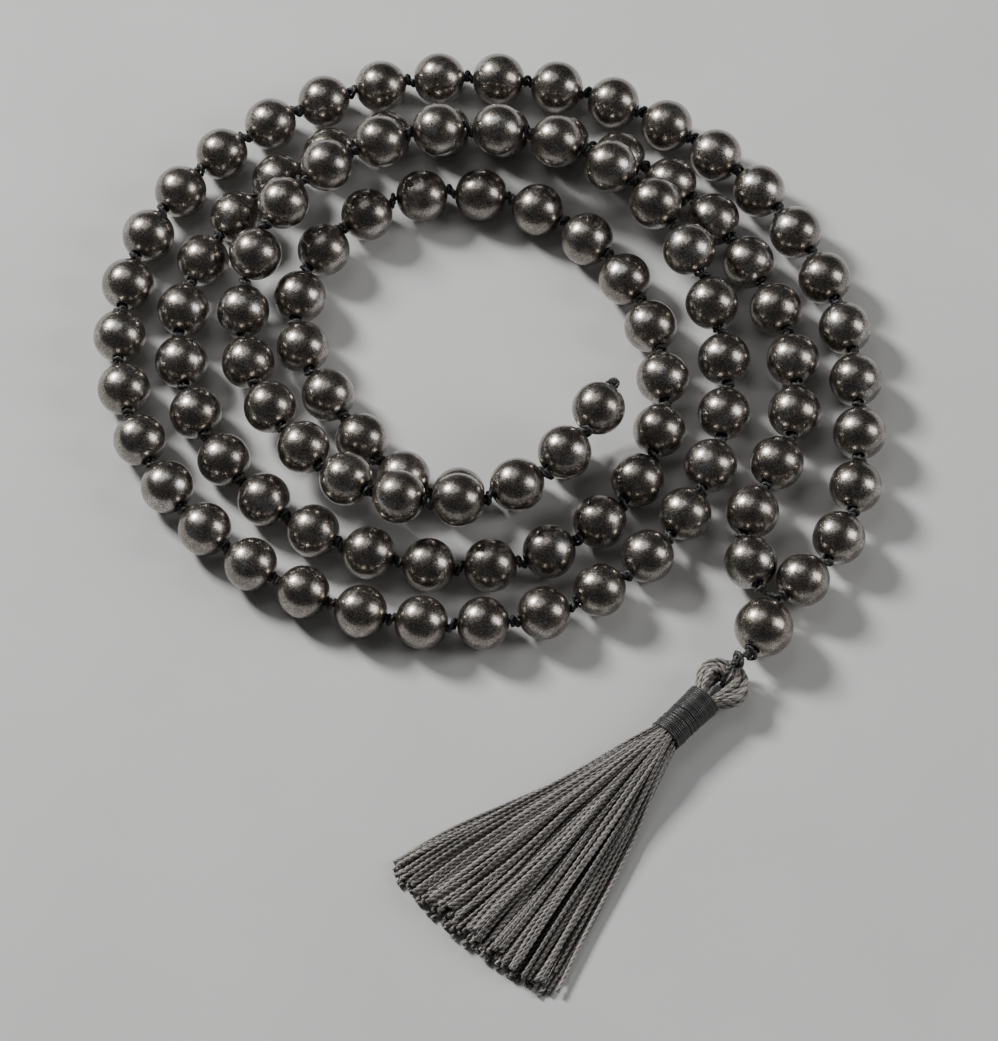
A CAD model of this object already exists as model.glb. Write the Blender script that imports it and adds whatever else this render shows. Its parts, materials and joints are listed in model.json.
import json
import math

import bpy
import numpy as np
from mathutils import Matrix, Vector

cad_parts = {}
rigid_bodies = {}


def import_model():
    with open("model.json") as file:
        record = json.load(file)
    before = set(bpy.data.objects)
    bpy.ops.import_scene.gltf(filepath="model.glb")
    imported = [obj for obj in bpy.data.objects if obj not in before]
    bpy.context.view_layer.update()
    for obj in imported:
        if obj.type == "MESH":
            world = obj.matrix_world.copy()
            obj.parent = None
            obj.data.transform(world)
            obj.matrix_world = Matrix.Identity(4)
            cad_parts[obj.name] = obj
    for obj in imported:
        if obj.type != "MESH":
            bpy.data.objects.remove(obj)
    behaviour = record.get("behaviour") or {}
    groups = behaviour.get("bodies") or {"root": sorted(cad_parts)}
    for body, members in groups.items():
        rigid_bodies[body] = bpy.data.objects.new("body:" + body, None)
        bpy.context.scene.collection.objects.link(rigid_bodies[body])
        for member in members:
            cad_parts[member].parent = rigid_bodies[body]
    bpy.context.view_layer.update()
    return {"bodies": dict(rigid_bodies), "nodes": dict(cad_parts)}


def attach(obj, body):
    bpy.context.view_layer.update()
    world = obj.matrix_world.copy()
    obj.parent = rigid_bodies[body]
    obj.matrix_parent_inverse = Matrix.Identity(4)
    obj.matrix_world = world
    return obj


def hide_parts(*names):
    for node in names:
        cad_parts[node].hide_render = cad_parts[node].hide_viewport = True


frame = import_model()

# The looks of a mala: drilled stone beads knotted on one cord, with a guru bead and a yarn tassel.
# Every length is in metres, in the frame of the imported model. Each bead, cord and yarn is real geometry.

MM = 0.001
TURN = 2 * math.pi

# ---- The strand's route: x, y, z and the heading there in degrees. part.scad has the same points. ----
DRAWN_MIDDLE = np.array([-0.0002, 0.0016, 0.0])
OUTER_ROUTE = [
    (0.043, -0.0145, 0.0045, 22),
    (0.052, -0.005, 0.004, 62),
    (0.0555, 0.018, 0.004, 90),
    (-0.0035, 0.076, 0.004, 180),
    (-0.056, 0.030, 0.004, 270),
    (-0.0035, -0.019, 0.004, 0),
    (0.0358, 0.022, 0.004, 90),
    (0.027, 0.0485, 0.009, 124),
    (0.010, 0.0604, 0.0114, 160),
    (-0.004, 0.0624, 0.0114, 180),
    (-0.031, 0.0505, 0.0108, 232),
    (-0.0376, 0.032, 0.004, 270),
    (-0.030, 0.012, 0.0065, 305),
    (-0.006, -0.0025, 0.0115, 0),
    (0.014, 0.009, 0.0115, 55),
    (0.019, 0.021, 0.011, 82),
]
INNER_ROUTE = [
    (0.0142, 0.0136, 0.004, 248),
    (0.012, 0.009, 0.004, 222),
    (-0.005, 0.0024, 0.004, 180),
    (-0.021, 0.015, 0.004, 122),
    (-0.0295, 0.033, 0.004, 90),
    (-0.0055, 0.0555, 0.004, 0),
    (0.0265, 0.020, 0.004, 270),
    (-0.003, -0.0095, 0.004, 180),
    (-0.047, 0.031, 0.004, 90),
    (-0.0375, 0.0525, 0.004, 52),
    (-0.005, 0.0665, 0.004, 0),
    (0.034, 0.051, 0.004, 308),
    (0.0465, 0.020, 0.004, 270),
    (0.0425, 0.007, 0.004, 240),
    (0.0375, -0.004, 0.004, 262),
    (0.040, -0.013, 0.0045, 300),
]
BEND = np.array([0.0184, 0.018, 0.005]) - DRAWN_MIDDLE
LEG_STEPS = 24
PITCH = 9.15 * MM
BEAD_TOTAL = 108
QUARTERS = 4

BEAD_R = 4.0 * MM
BEAD_HOLE_R = 0.7 * MM
GURU_R = 4.4 * MM
GURU_HOLE_R = 1.1 * MM
GURU_AT = np.array([0.0405, -0.0195, 0.0045]) - DRAWN_MIDDLE
PIVOT_OUT = 0.25 * MM

# ---- The tassel, along its own X from the pivot ----
TASSEL_HEADING = math.radians(226)
TASSEL_Z = 3.2 * MM
LOOP_X = 3.9 * MM
LOOP_R = 2.3 * MM
LOOP_KNOT_AT = math.radians(120)
EYE_R = 2.45 * MM
NECK_X = 9.6 * MM
NECK_LENGTH = 8.9 * MM
NECK_R = 2.65 * MM
BOUND_R = 2.15 * MM
SKIRT_X = NECK_X + NECK_LENGTH
SKIRT_LENGTH = 44 * MM
SKIRT_SPREAD = 16 * MM

CORD_R = 0.42 * MM
KNOT_CORD_R = 0.33 * MM

# ---- The camera: above the tassel's side of the coil, at the angle of the picture ----
CAMERA_TARGET = Vector((0.0017, -0.0031, 0.0041))
CAMERA_ELEVATION = math.radians(62)
CAMERA_DISTANCE = 0.953
CAMERA_LENS = 221.9


def make_camera():
    """A long lens on a 36 mm sensor, which spans the frame's longer side."""
    data = bpy.data.cameras.new("camera")
    data.lens = CAMERA_LENS
    data.sensor_width = 36
    data.clip_start = 0.01
    data.clip_end = 20
    camera = bpy.data.objects.new("camera", data)
    back = Vector((0, -math.cos(CAMERA_ELEVATION), math.sin(CAMERA_ELEVATION)))
    camera.location = CAMERA_TARGET + back * CAMERA_DISTANCE
    camera.rotation_euler = (-back).to_track_quat("-Z", "Y").to_euler()
    bpy.context.scene.collection.objects.link(camera)
    bpy.context.scene.camera = camera


make_camera()


# ---- Small helpers for points ----
def unit(v):
    """v at length 1, or each row of v."""
    return v / np.linalg.norm(v, axis=-1, keepdims=True)


def ease(t):
    """A smooth rise from 0 to 1 as t goes from 0 to 1."""
    t = np.clip(t, 0, 1)
    return t * t * (3 - 2 * t)


def tassel_point(x, y, z):
    """Row-frame places of points drawn in the tassel's own frame. x, y and z may be arrays."""
    c, s = math.cos(TASSEL_HEADING), math.sin(TASSEL_HEADING)
    x, y, z = np.broadcast_arrays(x, y, z)
    return np.stack([PIVOT[0] + x * c - y * s, PIVOT[1] + x * s + y * c, z], axis=-1)


# ---- The strand's path, as part.scad walks it ----
def way(heading):
    """The level direction at a heading in degrees."""
    return np.array([math.cos(math.radians(heading)), math.sin(math.radians(heading)), 0.0])


def leg(a, b):
    """A cubic between two route points. Its reach makes a quarter turn close to a quarter of an ellipse."""
    start, end = np.array(a[:3]) - DRAWN_MIDDLE, np.array(b[:3]) - DRAWN_MIDDLE
    turned = abs((b[3] - a[3] + 540) % 360 - 180)
    reach = math.dist(a[:2], b[:2]) / math.cos(math.radians(turned / 4)) ** 2
    t = (np.arange(LEG_STEPS) / LEG_STEPS)[:, None]
    return (
        (2 * t**3 - 3 * t**2 + 1) * start
        + (t**3 - 2 * t**2 + t) * reach * way(a[3])
        + (3 * t**2 - 2 * t**3) * end
        + (t**3 - t**2) * reach * way(b[3])
    )


def knots_on(route):
    """The knots' places: one pitch apart in a straight line, along the route."""
    legs = [leg(a, b) for a, b in zip(route, route[1:])]
    points = np.concatenate(legs + [[np.array(route[-1][:3]) - DRAWN_MIDDLE]])
    found, i = [points[0]], 0
    while True:
        here = found[-1]
        while i + 1 < len(points) and np.linalg.norm(points[i + 1] - here) < PITCH:
            i += 1
        if i + 1 >= len(points):
            return np.array(found)
        a, d = points[i], points[i + 1] - points[i]
        m = a - here
        dd, dm = d @ d, d @ m
        found.append(a + d * (math.sqrt(dm * dm - dd * (m @ m - PITCH * PITCH)) - dm) / dd)


outer_knots = knots_on(OUTER_ROUTE)
inner_knots = knots_on(INNER_ROUTE)
bead_spans = [*zip(outer_knots, outer_knots[1:]), *zip(inner_knots, inner_knots[1:])]
TOP_KNOT = outer_knots[0]
GURU_WAY = unit(GURU_AT - TOP_KNOT)
PIVOT = GURU_AT + GURU_WAY * (GURU_R + PIVOT_OUT)


# ---- Meshes ----
def make_piece(name, points, polygons, material, body, replaced, tints=None, uvs=None):
    """A smooth mesh from arrays, which rides on body and stands for the CAD nodes in replaced.

    polygons is a list of arrays, each of faces with one number of corners.
    """
    mesh = bpy.data.meshes.new(name)
    corners = np.concatenate([p.ravel() for p in polygons]).astype(np.int32)
    sizes = np.concatenate([np.full(len(p), p.shape[1]) for p in polygons])
    starts = np.concatenate([[0], np.cumsum(sizes)[:-1]]).astype(np.int32)
    mesh.vertices.add(len(points))
    mesh.vertices.foreach_set("co", np.asarray(points, np.float32).ravel())
    mesh.loops.add(len(corners))
    mesh.loops.foreach_set("vertex_index", corners)
    mesh.polygons.add(len(sizes))
    mesh.polygons.foreach_set("loop_start", starts)
    mesh.update(calc_edges=True)
    mesh.polygons.foreach_set("use_smooth", np.ones(len(sizes), bool))
    if tints is not None:
        layer = mesh.attributes.new("tint", "FLOAT", "POINT")
        layer.data.foreach_set("value", np.asarray(tints, np.float32).ravel())
    if uvs is not None:
        layer = mesh.uv_layers.new(name="along")
        layer.data.foreach_set("uv", np.asarray(uvs, np.float32)[corners].ravel())
    mesh.validate()
    mesh.materials.append(material)
    piece = bpy.data.objects.new(name, mesh)
    bpy.context.scene.collection.objects.link(piece)
    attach(piece, body)
    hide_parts(*replaced)


def plied(plies, corners, depth):
    """A yarn's outline: its radius at even angles, full at each ply's crown and less in the grooves."""
    angle = TURN * np.arange(corners) / corners
    return 1 - depth * (1 - np.abs(np.cos(plies * angle / 2)) ** 0.8)


def sweep(paths, radii, outline, turns):
    """Closed tubes along paths, an array of (tubes, rings, 3). radii and turns are (tubes, rings).

    Returns the points, the side faces and the end caps, and each point's distance along and round its tube.
    """
    tubes, rings, _ = paths.shape
    n = len(outline)
    ahead = unit(np.gradient(paths, axis=1))
    side = np.empty_like(paths)
    across = np.where(np.abs(ahead[:, :1, 2:]) < 0.9, [[[0.0, 0.0, 1.0]]], [[[1.0, 0.0, 0.0]]])
    side[:, 0] = unit(np.cross(across, ahead[:, :1]))[:, 0]
    for r in range(1, rings):
        kept = side[:, r - 1] - np.sum(side[:, r - 1] * ahead[:, r], -1, keepdims=True) * ahead[:, r]
        side[:, r] = unit(kept)
    up = np.cross(ahead, side)
    angle = TURN * np.arange(n) / n + np.broadcast_to(turns, (tubes, rings))[..., None]
    out = np.cos(angle)[..., None] * side[:, :, None] + np.sin(angle)[..., None] * up[:, :, None]
    reach = np.broadcast_to(radii, (tubes, rings))[..., None] * outline
    points = (paths[:, :, None] + reach[..., None] * out).reshape(-1, 3)
    first = (np.arange(tubes) * rings * n)[:, None, None]
    ring = (np.arange(rings - 1) * n)[None, :, None]
    k = np.arange(n)[None, None, :]
    a, b = first + ring + k, first + ring + (k + 1) % n
    sides = np.stack([a, b, b + n, a + n], axis=-1).reshape(-1, 4)
    caps = np.concatenate([first[:, 0] + k[0, :, ::-1], first[:, 0] + (rings - 1) * n + k[0]])
    step = np.linalg.norm(np.diff(paths, axis=1), axis=-1)
    along = np.concatenate([np.zeros((tubes, 1)), np.cumsum(step, axis=1)], axis=1)
    uvs = np.stack(np.broadcast_arrays(along[..., None] / MM, k / n), axis=-1).reshape(-1, 2)
    return points, [sides, caps], uvs


def turned_towards(points, middle, direction):
    """Points drawn along +Z, moved to middle and turned so that +Z is direction."""
    z = unit(np.asarray(direction, float))
    x = unit(np.cross([0.0, 0.0, 1.0] if abs(z[2]) < 0.9 else [1.0, 0.0, 0.0], z))
    return middle + points @ np.stack([x, np.cross(z, x), z])


# ---- Materials ----
def new_material(name):
    """A material, its node tree and its Principled shader."""
    material = bpy.data.materials.new(name)
    material.use_nodes = True
    tree = material.node_tree
    shader = tree.nodes["Principled BSDF"]
    return material, tree, shader


def add(tree, kind, inputs=None, **settings):
    """A node with its settings, and its inputs as values or as the sockets they are linked from."""
    node = tree.nodes.new(kind)
    for key, value in settings.items():
        setattr(node, key, value)
    for key, value in (inputs or {}).items():
        if isinstance(value, bpy.types.NodeSocket):
            tree.links.new(value, node.inputs[key])
        else:
            node.inputs[key].default_value = value
    return node


def ramp(tree, source, stops):
    """A colour ramp over source. stops is a list of (position, colour)."""
    node = add(tree, "ShaderNodeValToRGB", {"Fac": source})
    elements = node.color_ramp.elements
    while len(elements) < len(stops):
        elements.new(0.5)
    for element, (position, colour) in zip(elements, stops):
        element.position = position
        element.color = (*colour, 1)
    return node.outputs["Color"]


def spread(tree, source, low, high):
    """source from 0 to 1, spread over low to high."""
    node = add(tree, "ShaderNodeMapRange", {"Value": source, "To Min": low, "To Max": high})
    return node.outputs["Result"]


def polished_stone(name, dark, brown, pale):
    """Metallic grey stone: brownish clouds, a fine sparkle of grain, small open pits and a thin polish."""
    material, tree, shader = new_material(name)
    place = add(tree, "ShaderNodeTexCoord").outputs["Object"]
    cloud = add(tree, "ShaderNodeTexNoise", {"Vector": place, "Scale": 330, "Detail": 5, "Roughness": 0.65})
    grain = add(tree, "ShaderNodeTexNoise", {"Vector": place, "Scale": 4300, "Detail": 3, "Roughness": 0.75})
    pits = add(tree, "ShaderNodeTexVoronoi", {"Vector": place, "Scale": 2100, "Randomness": 1.0})
    colour = ramp(tree, cloud.outputs["Fac"], [(0.36, dark), (0.5, brown), (0.64, pale)])
    speck = ramp(tree, grain.outputs["Fac"], [(0.34, (0.3, 0.29, 0.28)), (0.5, (0.8, 0.8, 0.8)),
                                              (0.64, (1.5, 1.48, 1.45))])
    mixed = add(tree, "ShaderNodeMix", {"Factor": 1.0, "A": colour, "B": speck}, data_type="RGBA",
                blend_type="MULTIPLY")
    open_pit = ramp(tree, pits.outputs["Distance"], [(0.1, (0, 0, 0)), (0.24, (1, 1, 1))])
    pitted = add(tree, "ShaderNodeMix", {"Factor": 0.55, "A": mixed.outputs["Result"], "B": open_pit},
                 data_type="RGBA", blend_type="MULTIPLY")
    tree.links.new(pitted.outputs["Result"], shader.inputs["Base Color"])
    tree.links.new(spread(tree, grain.outputs["Fac"], 0.18, 0.44), shader.inputs["Roughness"])
    shader.inputs["Metallic"].default_value = 1.0
    shader.inputs["Coat Weight"].default_value = 0.8
    shader.inputs["Coat Roughness"].default_value = 0.09
    shader.inputs["Coat IOR"].default_value = 1.6
    worn = add(tree, "ShaderNodeBump", {"Height": grain.outputs["Fac"], "Strength": 0.3, "Distance": 0.00002})
    holes = add(tree, "ShaderNodeBump", {"Height": open_pit, "Normal": worn.outputs["Normal"],
                                         "Strength": 0.35, "Distance": 0.00003})
    tree.links.new(holes.outputs["Normal"], shader.inputs["Normal"])
    return material


def thread(name, dark, light, roughness, sheen, fibres_per_turn, skew):
    """Two-ply thread: a shade for each strand, fine fibres at a slant, and dark grooves between the plies."""
    material, tree, shader = new_material(name)
    tint = add(tree, "ShaderNodeAttribute", attribute_name="tint").outputs["Fac"]
    uv = add(tree, "ShaderNodeUVMap", uv_map="along").outputs["UV"]
    parts = add(tree, "ShaderNodeSeparateXYZ", {"Vector": uv})
    slant = add(tree, "ShaderNodeMath", {0: parts.outputs["X"], 1: skew}, operation="MULTIPLY")
    round_it = add(tree, "ShaderNodeMath", {0: parts.outputs["Y"], 1: slant.outputs["Value"]},
                   operation="ADD")
    wrapped = add(tree, "ShaderNodeMath", {0: round_it.outputs["Value"], 1: fibres_per_turn},
                  operation="MULTIPLY")
    fibre_uv = add(tree, "ShaderNodeCombineXYZ", {"X": parts.outputs["X"], "Y": wrapped.outputs["Value"],
                                                  "Z": tint})
    fibre = add(tree, "ShaderNodeTexNoise", {"Vector": fibre_uv.outputs["Vector"], "Scale": 1.0, "Detail": 4,
                                             "Roughness": 0.65})
    shade = ramp(tree, tint, [(0.0, dark), (1.0, light)])
    streak = ramp(tree, fibre.outputs["Fac"], [(0.3, (0.5, 0.5, 0.5)), (0.7, (1.15, 1.13, 1.1))])
    mixed = add(tree, "ShaderNodeMix", {"Factor": 0.8, "A": shade, "B": streak}, data_type="RGBA",
                blend_type="MULTIPLY")
    turn = add(tree, "ShaderNodeMath", {0: parts.outputs["Y"], 1: TURN}, operation="MULTIPLY")
    crown = add(tree, "ShaderNodeMath", {0: turn.outputs["Value"]}, operation="COSINE")
    crown = add(tree, "ShaderNodeMath", {0: crown.outputs["Value"]}, operation="ABSOLUTE")
    groove = ramp(tree, crown.outputs["Value"], [(0.1, (0.16, 0.16, 0.16)), (0.75, (1, 1, 1))])
    shaded = add(tree, "ShaderNodeMix", {"Factor": 1.0, "A": mixed.outputs["Result"], "B": groove},
                 data_type="RGBA", blend_type="MULTIPLY")
    tree.links.new(shaded.outputs["Result"], shader.inputs["Base Color"])
    tree.links.new(spread(tree, fibre.outputs["Fac"], roughness - 0.1, roughness + 0.12),
                   shader.inputs["Roughness"])
    shader.inputs["Sheen Weight"].default_value = sheen
    shader.inputs["Sheen Roughness"].default_value = 0.4
    bump = add(tree, "ShaderNodeBump", {"Height": fibre.outputs["Fac"], "Strength": 0.7,
                                        "Distance": 0.00006})
    tree.links.new(bump.outputs["Normal"], shader.inputs["Normal"])
    return material


bead_material = polished_stone("bead_stone", (0.2, 0.19, 0.18), (0.27, 0.235, 0.2), (0.43, 0.42, 0.41))
guru_material = polished_stone("guru_stone", (0.21, 0.2, 0.185), (0.3, 0.255, 0.21), (0.44, 0.43, 0.41))
cord_material = thread("cord_thread", (0.014, 0.014, 0.015), (0.058, 0.056, 0.054), 0.42, 0.2, 22, 0.3)
yarn_material = thread("tassel_yarn", (0.062, 0.057, 0.052), (0.47, 0.433, 0.403), 0.34, 0.35, 18, 0.35)
wrap_material = thread("wrap_thread", (0.03, 0.03, 0.03), (0.085, 0.083, 0.08), 0.28, 0.2, 14, 0.5)


# ---- Beads ----
def bead_points(radius, hole, rng):
    """A slightly uneven ball with a drilled hole along +Z, whose edges are worn round."""
    around, over, along_wall = 60, 34, 6
    rim_width = 0.35 * MM
    rim = hole + rim_width
    rim_angle = math.asin(rim / radius)
    theta = np.linspace(rim_angle, math.pi - rim_angle, over)
    outer = np.stack([np.sin(theta), np.cos(theta)], 1) * radius
    bend = np.radians([25, 50, 75])
    edge_r = hole + rim_width * (1 - np.sin(bend))
    edge_z = radius * math.cos(rim_angle) - rim_width * (1 - np.cos(bend)) - 0.06 * MM
    lower_edge = np.stack([edge_r, -edge_z], 1)
    wall_z = np.linspace(-1, 1, along_wall) * (edge_z[-1] - 0.15 * MM)
    wall = np.stack([np.full(along_wall, hole), wall_z], 1)
    upper_edge = np.stack([edge_r, edge_z], 1)[::-1]
    profile = np.concatenate([outer, lower_edge, wall, upper_edge])
    phi = TURN * np.arange(around) / around
    r, z = profile[:, :1], np.repeat(profile[:, 1:], around, 1)
    points = np.stack([r * np.cos(phi), r * np.sin(phi), z], -1).reshape(-1, 3)
    ways = unit(points)
    lump = sum(np.sin(ways @ (rng.normal(size=3) * 2.3) + rng.uniform(0, TURN)) for _ in range(5)) / 5
    away_from_hole = ease((1 - np.abs(ways[:, 2])) * 6)
    points *= (1 + 0.011 * lump * away_from_hole)[:, None]
    rows = len(profile)
    i, k = np.arange(rows)[:, None], np.arange(around)[None, :]
    a, b = i * around + k, i * around + (k + 1) % around
    below = (i + 1) % rows * around
    quads = np.stack([a, below + k, below + (k + 1) % around, b], -1).reshape(-1, 4)
    return points, quads


def body_for(name):
    """The body that a bead rides on: its own if it turns, or else root."""
    return name if name in frame["bodies"] else "root"


def make_beads():
    """108 counting beads. Those with no node of their own stand for their quarter's node."""
    for number, (a, b) in enumerate(bead_spans, 1):
        rng = np.random.default_rng(number)
        points, quads = bead_points(BEAD_R * rng.uniform(0.988, 1.004), BEAD_HOLE_R, rng)
        spin = rng.uniform(0, TURN)
        c, s = math.cos(spin), math.sin(spin)
        points = points @ np.array([[c, s, 0], [-s, c, 0], [0, 0, 1]])
        points = turned_towards(points, (a + b) / 2, b - a)
        own = f"bead_{number:03d}"
        quarter = f"beads_quarter_{math.ceil(number * QUARTERS / BEAD_TOTAL)}"
        node = own if own in frame["nodes"] else quarter
        make_piece(f"stone_{number:03d}", points, [quads], bead_material, body_for(own), [node])


def make_guru():
    """The guru bead, with a wider hole for the cord's two ends."""
    points, quads = bead_points(GURU_R * 0.998, GURU_HOLE_R, np.random.default_rng(500))
    points = turned_towards(points, GURU_AT, GURU_WAY)
    make_piece("guru_stone", points, [quads], guru_material, "guru_bead", ["guru_bead"])


# ---- The overhand knot, tied loosely and pulled tight ----
def tie_overhand_knot():
    """The centreline of a tight overhand knot in a cord 1 thick, along +Z, with a straight tail at each end.

    A loose trefoil's ends are pulled apart while the cord keeps its length and can't pass through itself.
    """
    count, steps, rounds, pull = 110, 320, 16, 0.04
    t = np.linspace(-2.2, 2.2, count)
    loose = np.stack([0.63 * (t**3 - 3 * t), 0.525 * (t**4 - 4 * t * t), 0.175 * (t**5 - 10 * t)], 1)
    gone = np.concatenate([[0], np.cumsum(np.linalg.norm(np.diff(loose, axis=0), axis=1))])
    even = np.linspace(0, gone[-1], count)
    p = np.stack([np.interp(even, gone, loose[:, k]) for k in range(3)], 1)
    link = np.linalg.norm(np.diff(p, axis=0), axis=1).mean()
    i, j = np.triu_indices(count, int(math.ceil(2 / link)))
    for _ in range(steps):
        ahead = unit(p[-1] - p[0])
        middle = p[count // 3 : -(count // 3)].mean(0) - (p[0] + p[-1]) / 2
        drift = (middle - (middle @ ahead) * ahead) * 0.05
        stretched = np.linalg.norm(np.diff(p, axis=0), axis=1).sum() / (link * (count - 1))
        step = pull if stretched < 1.015 else 0
        p[0] += drift - ahead * step
        p[-1] += drift + ahead * step
        for _ in range(rounds):
            d = np.diff(p, axis=0)
            far = np.linalg.norm(d, axis=1, keepdims=True)
            fix = d * (far - link) / far / 2
            move = np.zeros_like(p)
            move[:-1] += fix
            move[1:] -= fix
            move[[0, -1]] = 0
            p += move
            gap = p[i] - p[j]
            apart = np.linalg.norm(gap, axis=1)
            hit = apart < 1
            push = gap[hit] / apart[hit, None] * (1 - apart[hit, None]) / 2
            move = np.zeros_like(p)
            hits = np.zeros(count)
            for at, sign in ((i[hit], 1), (j[hit], -1)):
                np.add.at(move, at, sign * push)
                np.add.at(hits, at, 1)
            move[[0, -1]] = 0
            p += 1.5 * move / np.maximum(hits, 1)[:, None]
            p[1:-1] += 0.03 * (p[:-2] + p[2:] - 2 * p[1:-1])
    z = unit(p[-1] - p[0])
    body = p[count // 3 : -(count // 3)]
    centre = (body.min(0) + body.max(0)) / 2
    x = unit(np.cross(z, [1.0, 0.0, 0.0]))
    p = (p - centre) @ np.stack([x, np.cross(z, x), z], 1)
    kept = p[np.abs(p[:, 2]) < 2.1]
    tail = ease((2.1 - np.abs(kept[:, 2])) / 0.75)[:, None]
    return kept * np.where([True, True, False], tail, 1)


# One knot is tied once and used for every knot. Between two beads it is pressed to this share of its length
knot_line = tie_overhand_knot()
KNOT_SQUEEZE = 0.82


def knot_at(middle, direction, roll, scale=2 * KNOT_CORD_R):
    """The knot's line in place. A knot pulled up between two beads is pressed a little shorter."""
    c, s = math.cos(roll), math.sin(roll)
    line = knot_line @ np.array([[c, s, 0], [-s, c, 0], [0, 0, 1]]) * scale
    line[:, 2] *= KNOT_SQUEEZE
    return turned_towards(line, middle, direction)


def run_between(a, b, steps, bend=None):
    """Points from a towards b, without either end: straight, or in a curve that is drawn to bend."""
    t = (np.arange(1, steps) / steps)[:, None]
    if bend is None:
        return a + (b - a) * t
    return (1 - t) ** 2 * a + 2 * t * (1 - t) * bend + t**2 * b


def cord_stretch(knots, before, after, bends, rng):
    """The line and thickness of a cord through knots. before and after are where it comes from and goes to.

    bends holds the places that the cord goes by between a knot and the next one.
    """
    at = [before, *knots, after]
    line, radius = [], []
    for k in range(1, len(at) - 1):
        came, going = bends.get(k - 1, at[k - 1]), bends.get(k, at[k + 1])
        ahead = unit(unit(at[k] - came) + unit(going - at[k]))
        knot = knot_at(at[k], ahead, rng.uniform(0, TURN))
        if line:
            bend = bends.get(k - 1)
            run = run_between(line[-1][-1], knot[0], 7 if bend is None else 20, bend)
            line.append(run)
            radius.append(np.full(len(run), CORD_R))
        line.append(knot)
        radius.append(np.full(len(knot), KNOT_CORD_R))
    return line, radius


def cord_tube(line, radius, plies_turn_every):
    """A two-ply tube along one line. The plies turn once every plies_turn_every of its length."""
    gone = np.concatenate([[0], np.cumsum(np.linalg.norm(np.diff(line, axis=0), axis=1))])
    turns = TURN * gone / plies_turn_every
    return sweep(line[None], radius[None], plied(2, 12, 0.3), turns[None])


def softened(radius, passes=2):
    """A list of radii with its sudden steps smoothed."""
    for _ in range(passes):
        radius = np.convolve(np.pad(radius, 1, mode="edge"), [0.25, 0.5, 0.25], mode="valid")
    return radius


def make_cord():
    """The stringing cord in four lengths that meet end to end, its two ends through the guru bead, and the
    knot below it that the tassel hangs from.
    """
    rng = np.random.default_rng(7)
    lay = unit(np.cross(GURU_WAY, [0.0, 0.0, 1.0])) * 0.45 * MM
    through = PIVOT - GURU_WAY * 0.2 * MM
    knots = [*outer_knots, *inner_knots]
    line, radius = cord_stretch(knots, through, TOP_KNOT, {len(outer_knots): BEND}, rng)
    ends_in = [through + lay, GURU_AT + lay, TOP_KNOT - unit(TOP_KNOT - GURU_AT) * 1.2 * MM + lay * 0.5]
    start = np.concatenate([[a + (b - a) * t for t in np.linspace(0, 1, 12, endpoint=False)]
                            for a, b in zip(ends_in, [*ends_in[1:], line[0][0]])])
    ends_out = [line[-1][-1], TOP_KNOT - lay * 1.3, GURU_AT - lay, through - lay]
    finish = np.concatenate([[a + (b - a) * t for t in np.linspace(0, 1, 12, endpoint=False)]
                             for a, b in zip(ends_out, ends_out[1:])])[1:]
    line = [start, *line, finish]
    radius = [np.full(len(start), CORD_R), *radius, np.full(len(finish), CORD_R)]
    cuts = [0, 56, 111, 166, len(line)]
    for part, (a, b) in enumerate(zip(cuts, cuts[1:]), 1):
        whole = np.concatenate(line[a:b] + ([line[b][:1]] if b < len(line) else []))
        thick = np.concatenate(radius[a:b] + ([radius[b][:1]] if b < len(line) else []))
        points, faces, uvs = cord_tube(whole, softened(thick), 1.7 * MM)
        tints = np.full(len(points), 0.5)
        make_piece(f"cord_{part}", points, faces, cord_material, "root", ["knotted_cord"], tints, uvs)
    pivot_line = knot_at(PIVOT, GURU_WAY, 0.6, 2.15 * KNOT_CORD_R)
    points, faces, uvs = cord_tube(pivot_line, np.full(len(pivot_line), KNOT_CORD_R * 1.07), 1.7 * MM)
    make_piece("cord_tassel_knot", points, faces, cord_material, "root", ["knotted_cord"],
               np.full(len(points), 0.55), uvs)


def make_hanger():
    """The cord's end: it leaves the last knot, goes round the folded yarn, and is tied on top."""
    centre_x, centre_z = LOOP_X, TASSEL_Z
    angle = LOOP_KNOT_AT - np.linspace(0, TURN, 72)
    far = LOOP_R + 0.45 * MM * ease(1 - np.abs(angle - LOOP_KNOT_AT) / 0.8) + 0.45 * MM * ease(
        1 - np.abs(angle - LOOP_KNOT_AT + TURN) / 0.8)
    ring = tassel_point(centre_x + far * np.cos(angle), 0.25 * MM * np.sin(angle + 2),
                        centre_z + far * np.sin(angle))
    knot = knot_at(ring[0], ring[1] - ring[-2], 1.1)
    lead = np.array([PIVOT, PIVOT * 0.5 + knot[0] * 0.5 + [0, 0, 0.35 * MM]])
    line = np.concatenate([run_between(lead[0], knot[0], 10, lead[1]), knot, ring[5:-3]])
    radius = np.full(len(line), CORD_R)
    points, faces, uvs = cord_tube(line, radius, 1.9 * MM)
    make_piece("tassel_hanger_cord", points, faces, cord_material, "tassel_hanger", ["tassel_hanger"],
               np.full(len(points), 0.8), uvs)


# ---- The tassel ----
def disc_layout(count):
    """Points that fill a unit disc evenly."""
    k = np.arange(count) + 0.5
    angle = k * math.pi * (3 - math.sqrt(5))
    return np.stack([np.cos(angle), np.sin(angle)], 1) * np.sqrt(k / count)[:, None]


def wander(rng, count, s, size, waves=3):
    """A smooth random curve for each of count strands, growing from 0 at the start."""
    total = np.zeros((count, len(s)))
    for w in range(1, waves + 1):
        phase = rng.uniform(0, TURN, (count, 1))
        total += rng.normal(0, size / w, (count, 1)) * (np.sin(w * math.pi * s + phase) - np.sin(phase))
    return total


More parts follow.
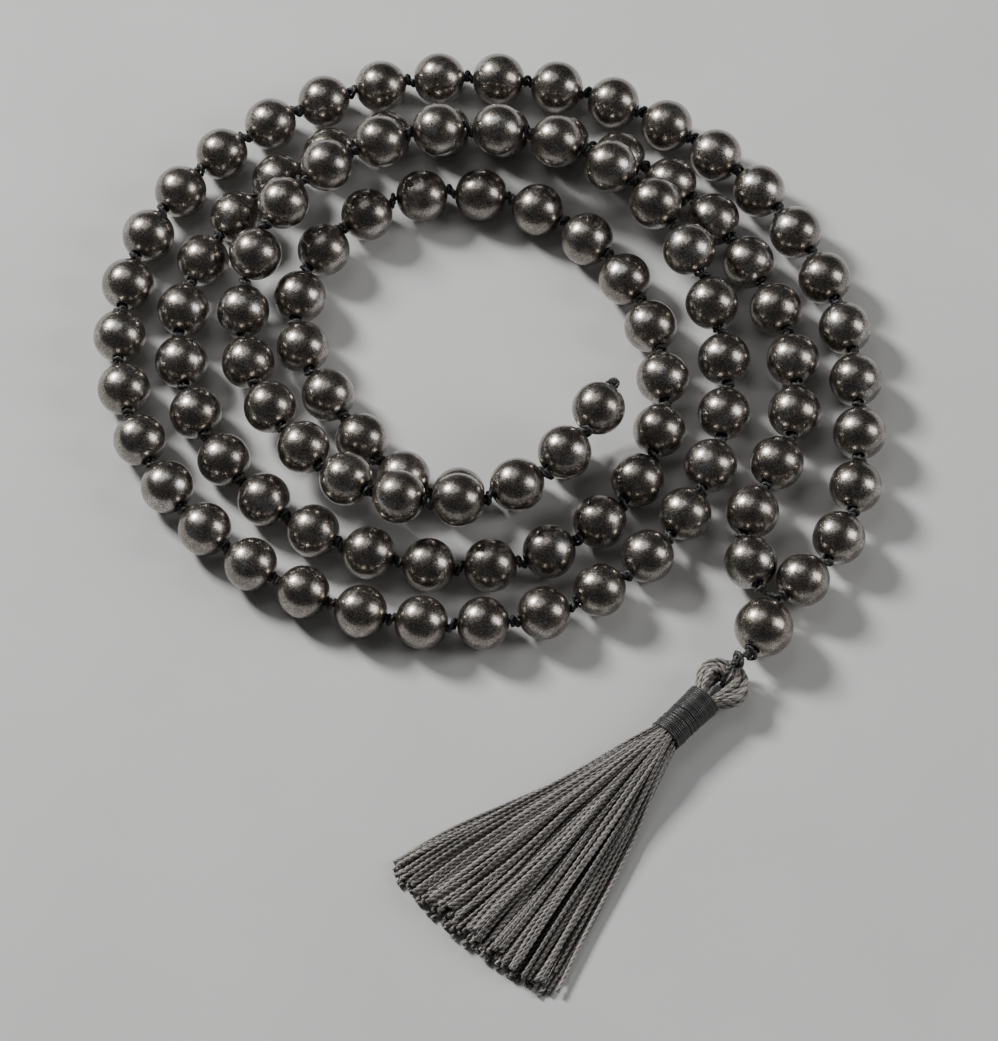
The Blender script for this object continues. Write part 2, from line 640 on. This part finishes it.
def make_head():
    """Yarns folded over the cord's loop. Each follows the fold at its own place in the bundle."""
    rng = np.random.default_rng(21)
    eye_x = LOOP_X + EYE_R
    turn = np.radians(np.linspace(90, 270, 40))
    leg_x = NECK_X + np.array([2.4, 0.5, -0.4, -1.3, -2.1, -2.9]) * MM
    leg_y = np.array([0.95, 1.0, 1.3, 1.85, 2.25, 2.42]) * MM
    rough = np.concatenate([
        np.stack([leg_x, leg_y], 1),
        np.stack([eye_x + EYE_R * np.cos(turn), EYE_R * np.sin(turn)], 1),
        np.stack([leg_x, -leg_y], 1)[::-1],
    ])
    for _ in range(3):
        rough[1:-1] = (rough[:-2] + 2 * rough[1:-1] + rough[2:]) / 4
    gone = np.concatenate([[0], np.cumsum(np.linalg.norm(np.diff(rough, axis=0), axis=1))])
    even = np.linspace(0, gone[-1], 190)
    middle = np.stack([np.interp(even, gone, rough[:, k]) for k in range(2)], 1)
    ahead = unit(np.gradient(middle, axis=0))
    outward = np.stack([ahead[:, 1], -ahead[:, 0]], 1)
    s = even / gone[-1]
    in_neck = ease((middle[:, 0] - NECK_X + 3.2 * MM) / (3 * MM))
    on_top = ease((eye_x - middle[:, 0]) / EYE_R)
    seats = disc_layout(24)
    wide = (1.38 - 0.62 * in_neck) * MM
    high = (2.1 - 0.75 * on_top - 0.35 * in_neck) * MM
    count = len(seats)
    loose = np.sin(math.pi * s)
    twist = 0.9 * np.sin(TURN * s)
    spin = np.arctan2(seats[:, 1:], seats[:, :1]) + twist
    far = np.linalg.norm(seats, axis=1, keepdims=True)
    across = (far * np.cos(spin) + wander(rng, count, s, 0.1) * loose) * wide
    lift = (far * np.sin(spin) + wander(rng, count, s, 0.1) * loose) * high
    x = middle[:, 0] + across * outward[:, 0]
    y = middle[:, 1] + across * outward[:, 1]
    paths = tassel_point(x, y, TASSEL_Z + lift)
    radii = 0.44 * MM * (1 - 0.3 * in_neck) * rng.uniform(0.92, 1.06, (count, 1))
    turns = TURN * even / (2.5 * MM) + rng.uniform(0, TURN, (count, 1))
    points, faces, uvs = sweep(paths, radii, plied(2, 14, 0.42), turns)
    tints = np.repeat(rng.uniform(0.35, 1.0, count), len(points) // count)
    make_piece("head_yarns", points, faces, yarn_material, "tassel", ["tassel_head"], tints, uvs)


def make_bound_yarns():
    """The yarns inside the winding."""
    rng = np.random.default_rng(22)
    seats = disc_layout(37) * (BOUND_R - 0.3 * MM)
    x = np.linspace(NECK_X - 0.05 * MM, SKIRT_X - 0.05 * MM, 24)
    paths = tassel_point(x, seats[:, :1], TASSEL_Z + seats[:, 1:])
    turns = TURN * (x - x[0]) / (3 * MM) + rng.uniform(0, TURN, (len(seats), 1))
    points, faces, uvs = sweep(paths, np.full((len(seats), len(x)), 0.33 * MM), plied(2, 8, 0.3), turns)
    tints = np.repeat(rng.uniform(0.3, 0.8, len(seats)), len(points) // len(seats))
    make_piece("bound_yarns", points, faces, yarn_material, "tassel", ["tassel_bound_yarn"],
               tints, uvs)


def make_neck_wrap():
    """One thread wound close round the yarns. Its turns lie a little unevenly."""
    rng = np.random.default_rng(23)
    thread_r, per_turn = 0.19 * MM, 48
    turns_made = int(NECK_LENGTH / (0.335 * MM))
    angle = np.linspace(0, TURN * turns_made, turns_made * per_turn)
    gone = angle / angle[-1]
    marks = np.linspace(0, angle[-1], 2 * turns_made)
    jitter = np.interp(angle, marks, rng.normal(0, 0.05 * MM, len(marks)))
    x = NECK_X + thread_r + (NECK_LENGTH - 2 * thread_r) * gone + jitter * np.sin(math.pi * gone)
    uneven = np.interp(angle, marks, rng.uniform(-0.09 * MM, 0.06 * MM, len(marks)))
    r = NECK_R - thread_r + uneven + 0.12 * MM * (1 - gone) - 0.1 * MM * np.sin(math.pi * gone)
    paths = tassel_point(x, r * np.cos(angle), TASSEL_Z + r * np.sin(angle))[None]
    radii = np.full((1, len(angle)), thread_r)
    points, faces, uvs = sweep(paths, radii, plied(2, 8, 0.15), np.zeros((1, 1)))
    tints = np.repeat(np.interp(gone, np.linspace(0, 1, 60), rng.uniform(0.1, 1, 60)), 8)
    make_piece("neck_winding", points, faces, wrap_material, "tassel", ["tassel_neck_wrap"],
               tints, uvs)


# Yarns in each layer of the skirt from the top down, how much of its fan each layer fills, and the pieces
# that the yarns are shared out over, which keeps each piece under 200,000 faces
SKIRT_LAYERS = (34, 42, 44, 46, 44)
SKIRT_LAYER_WIDTHS = (0.8, 0.92, 0.98, 1, 0.98)
SKIRT_GROUPS = 6
YARN_TWIST = 2.1 * MM


def make_skirt():
    """Loose two-ply yarns in a few layers, fanned out on the table in uneven locks with ragged ends."""
    rng = np.random.default_rng(24)
    rings, corners, lock_count = 250, 10, 15
    s = np.linspace(0, 1, rings)
    u, layer = [], []
    for number, (count, width) in enumerate(zip(SKIRT_LAYERS, SKIRT_LAYER_WIDTHS)):
        place = (np.arange(count) + 0.5 + rng.uniform(-0.4, 0.4, count)) / count * 2 - 1
        u.append(place * width)
        layer.append(np.full(count, 2 - number) + rng.normal(0, 0.16, count))
    u, layer = np.concatenate(u)[:, None], np.concatenate(layer)[:, None]
    total = len(u)
    lock_at = np.sort(rng.uniform(-1, 1, lock_count))
    nearest = np.argmin(np.abs(u - lock_at), axis=1)
    lock = lock_at[nearest][:, None]
    top = layer > 0.5
    fan = u + (lock - u) * np.where(top, 0.42, 0.2) + rng.normal(0, 0.028, (total, 1))
    astray = top & (rng.random((total, 1)) < 0.26)
    fan = np.clip(fan + astray * rng.normal(0, 0.17, (total, 1)), -1, 1) * (SKIRT_SPREAD - 0.5 * MM)
    reach = SKIRT_LENGTH + 1.2 * MM - np.abs(rng.normal(0, 1.1, (total, 1))) * MM - 0.9 * MM * (layer + 2) / 4
    longer_side = 1.6 * MM * np.clip(-fan / SKIRT_SPREAD, 0, 1)
    reach += longer_side
    slope = np.arcsin(np.clip(fan / reach, -0.6, 0.6))
    x = SKIRT_X - 1.6 * MM + reach * s * np.cos(slope)
    opened = 1.12 * s - 0.12 * s**3
    seat = u * (BOUND_R - 0.35 * MM) * np.sqrt(np.clip(1 - (layer / 2.6) ** 2, 0, 1))
    y = seat * (1 - s) ** 2 + fan * opened + wander(rng, total, s, 0.34 * MM) * s
    y += wander(rng, lock_count, s, 0.5 * MM)[nearest] * s
    pile = np.interp(s, [0, 0.12, 0.4, 0.8, 1], [0.86, 1.0, 0.98, 0.78, 0.62]) * MM
    middle = np.interp(s, [0, 0.12, 0.4, 0.8, 1], [3.2, 3.05, 2.75, 2.2, 1.75]) * MM
    thin = 1 - 0.7 * (fan / SKIRT_SPREAD) ** 2 * ease(2.4 * s)
    z = (middle + layer * pile + astray * 0.35 * MM * ease(s * 3)) * thin + wander(rng, total, s, 0.14 * MM)
    z = np.maximum(z, 0.4 * MM)
    paths = tassel_point(x, y, z)
    radii = np.interp(s, [0, 0.1, 0.3, 0.6, 0.96, 0.985, 1], [0.2, 0.26, 0.3, 0.325, 0.335, 0.38, 0.37]) * MM
    radii = radii * rng.uniform(0.88, 1.1, (total, 1))
    turns = TURN * reach * s / YARN_TWIST + rng.uniform(0, TURN, (total, 1))
    tint = np.clip(rng.normal(0.5, 0.24, (total, 1)), 0, 1)
    order = rng.permutation(total)
    for group in range(SKIRT_GROUPS):
        chosen = order[group::SKIRT_GROUPS]
        points, faces, uvs = sweep(paths[chosen], radii[chosen], plied(2, corners, 0.4), turns[chosen])
        tints = np.repeat(tint[chosen], rings * corners)
        make_piece(f"skirt_yarns_{group + 1}", points, faces, yarn_material, "tassel",
                   ["tassel_skirt"], tints, uvs)


# ---- The studio ----
def make_floor():
    """A plain pale floor with a faint unevenness."""
    material, tree, shader = new_material("pale_floor")
    place = add(tree, "ShaderNodeTexCoord").outputs["Object"]
    tone = add(tree, "ShaderNodeTexNoise", {"Vector": place, "Scale": 30, "Detail": 4})
    colour = ramp(tree, tone.outputs["Fac"], [(0.3, (0.6, 0.595, 0.585)), (0.7, (0.64, 0.635, 0.625))])
    tree.links.new(colour, shader.inputs["Base Color"])
    shader.inputs["Roughness"].default_value = 0.85
    mesh = bpy.data.meshes.new("floor")
    half = 3.0
    mesh.from_pydata([(-half, -half, 0), (half, -half, 0), (half, half, 0), (-half, half, 0)], [],
                     [(0, 1, 2, 3)])
    mesh.materials.append(material)
    floor = bpy.data.objects.new("floor", mesh)
    bpy.context.scene.collection.objects.link(floor)


def make_light(name, direction, distance, width, height, radiance):
    """A soft rectangular light that faces the coil."""
    data = bpy.data.lights.new(name, "AREA")
    data.shape = "RECTANGLE"
    data.size = width
    data.size_y = height
    data.energy = radiance * width * height * math.pi
    light = bpy.data.objects.new(name, data)
    towards = Vector(direction).normalized()
    light.location = towards * distance
    light.rotation_euler = (-towards).to_track_quat("-Z", "Y").to_euler()
    bpy.context.scene.collection.objects.link(light)


def make_studio():
    """A floor, a small bright light, a wide dim one, one like a window, and a faint sky."""
    make_floor()
    make_light("key", (-0.62, 0.48, 0.62), 0.95, 0.22, 0.22, 74)
    make_light("overhead", (-0.2, 0.3, 0.93), 1.1, 0.7, 0.5, 1.1)
    make_light("window", (0.86, -0.05, 0.5), 0.95, 0.36, 0.56, 6.2)
    world = bpy.data.worlds.new("studio")
    world.use_nodes = True
    background = world.node_tree.nodes["Background"]
    background.inputs["Color"].default_value = (0.95, 0.97, 1.0, 1)
    background.inputs["Strength"].default_value = 0.06
    bpy.context.scene.world = world


make_beads()
make_guru()
make_cord()
make_hanger()
make_head()
make_bound_yarns()
make_neck_wrap()
make_skirt()
make_studio()
